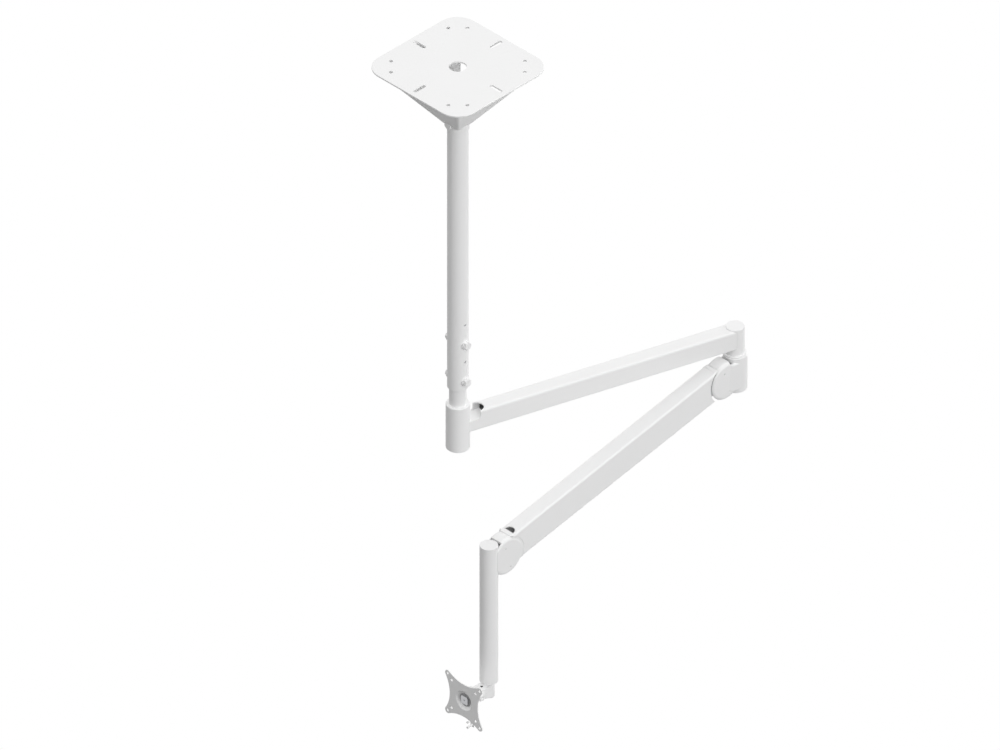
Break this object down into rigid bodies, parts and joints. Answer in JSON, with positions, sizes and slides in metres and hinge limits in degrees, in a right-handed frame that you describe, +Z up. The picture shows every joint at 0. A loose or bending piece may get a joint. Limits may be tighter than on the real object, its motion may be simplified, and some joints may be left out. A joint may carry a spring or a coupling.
{
  "type": "ceiling monitor mount",
  "caption": "Ceiling mount for a monitor: square plate with a folded hopper, telescopic mast, level extension arm, sprung arm, drop post and a tilting, turning screen plate.",
  "frame": {"origin": "centre of the ceiling plate's top face, in the middle of its fixing holes", "axes": "+Z up towards the ceiling, -Y towards the viewer of the screen, +X to the right of a person who faces +Y"},
  "size_m": [0.4109, 0.88, 1.6142],
  "materials": {
    "white_coat": "fine satin powder coat",
    "white_cast": "fine satin powder coat on cast and extruded aluminium",
    "zinc_steel": "zinc plated",
    "white_plastic": "moulded, satin",
    "grey_plastic": "moulded, matte",
    "strut_black": "smooth black paint"
  },
  "bodies": {
    "mast": {"ceiling_plate": "white_coat", "plate_hopper": "white_coat", "mast_collar": "white_coat", "collar_screw": "white_coat", "collar_nut": "white_coat", "mast_tube_outer": "white_coat", "mast_tube_inner": "white_coat", "height_bolts": "white_coat", "height_nuts": "white_coat", "height_washers": "white_coat", "grub_screws": "zinc_steel", "mast_end_plug": "zinc_steel", "mast_thrust_washer": "grey_plastic", "mast_stop_disc": "zinc_steel", "mast_end_screw": "zinc_steel"},
    "extension": {"extension_hub": "white_coat", "hub_bush_upper": "white_plastic", "hub_bush_lower": "white_plastic", "hub_stop_pin": "zinc_steel", "hub_end_cap": "white_plastic", "extension_tube": "white_coat", "elbow_spindle": "white_coat", "elbow_cap": "white_plastic", "elbow_thrust_washer": "grey_plastic", "elbow_stop_disc": "zinc_steel", "elbow_end_screw": "zinc_steel"},
    "knuckle": {"elbow_knuckle": "white_cast", "elbow_bush_upper": "white_plastic", "elbow_bush_lower": "white_plastic", "elbow_stop_pin": "zinc_steel", "knuckle_end_cap": "white_plastic", "upper_pivot_pin": "zinc_steel", "upper_link_pin": "zinc_steel", "strut_anchor_pin": "zinc_steel", "knuckle_screws": "zinc_steel"},
    "spring_arm": {"arm_cover": "white_cast", "arm_floor": "white_cast", "upper_yoke": "zinc_steel", "lower_yoke": "zinc_steel", "strut_cross_pin": "zinc_steel"},
    "level_link": {"parallel_link": "zinc_steel"},
    "strut_body": {"strut_cylinder": "strut_black"},
    "strut_piston": {"strut_rod": "zinc_steel"},
    "post": {"post_lug": "white_cast", "lower_pivot_pin": "zinc_steel", "lower_link_pin": "zinc_steel", "lug_screws": "zinc_steel", "drop_post": "white_coat", "post_cap": "white_plastic", "post_plug": "zinc_steel", "swivel_screw": "zinc_steel"},
    "head": {"swivel_block": "white_cast"},
    "tilt_head": {"tilt_yoke": "white_coat", "tilt_bolt": "white_coat", "tilt_nut": "white_coat", "centre_screw": "zinc_steel", "centre_washer": "grey_plastic"},
    "screen": {"vesa_plate": "white_coat", "cable_clip": "white_coat"}
  },
  "joints": [
    {"name": "mast_swivel", "type": "hinge", "parent": "mast", "child": "extension", "pos_m": [0, 0, -0.97], "axis": [0, 0, 1], "range_deg": [-165, 165]},
    {"name": "elbow_swivel", "type": "hinge", "parent": "extension", "child": "knuckle", "pos_m": [0.20291, 0.66786, -1.0567], "axis": [0, 0, 1], "range_deg": [-1.9, 328.1]},
    {"name": "arm_lift", "type": "hinge", "parent": "knuckle", "child": "spring_arm", "pos_m": [0.20291, 0.62426, -1.0567], "axis": [1, 0, 0], "range_deg": [-18.85, 34.15]},
    {"name": "link_swing", "type": "hinge", "parent": "knuckle", "child": "level_link", "pos_m": [0.20291, 0.62426, -1.0327], "axis": [1, 0, 0], "range_deg": [-18.85, 34.15]},
    {"name": "post_level", "type": "hinge", "parent": "spring_arm", "child": "post", "pos_m": [0.20291, -0.06323, -1.18847], "axis": [1, 0, 0], "range_deg": [-34.15, 18.85]},
    {"name": "strut_swing", "type": "hinge", "parent": "spring_arm", "child": "strut_body", "pos_m": [0.20291, 0.30279, -1.13257], "axis": [1, 0, 0], "range_deg": [-0.4, 0.7]},
    {"name": "strut_slide", "type": "slide", "parent": "strut_body", "child": "strut_piston", "axis": [0, 0.9842, 0.1772], "range_m": [-0.01, 0.0056]},
    {"name": "head_swivel", "type": "hinge", "parent": "post", "child": "head", "pos_m": [0.20291, -0.10543, -1.51327], "axis": [0, 0, 1], "range_deg": [-180, 180]},
    {"name": "head_tilt", "type": "hinge", "parent": "head", "child": "tilt_head", "pos_m": [0.20291, -0.14803, -1.53017], "axis": [1, 0, 0], "range_deg": [-20, 45]},
    {"name": "plate_turn", "type": "hinge", "parent": "tilt_head", "child": "screen", "pos_m": [0.20291, -0.18493, -1.53017], "axis": [0, 1, 0], "range_deg": [-90, 90]}
  ],
  "couplings": [
    {"joint": "link_swing", "follows": "arm_lift", "ratio": 1},
    {"joint": "post_level", "follows": "arm_lift", "ratio": -1},
    {"joint": "strut_swing", "follows": "arm_lift", "ratio": 0.0165},
    {"joint": "strut_slide", "follows": "arm_lift", "m_per_rad": -0.0165}
  ]
}
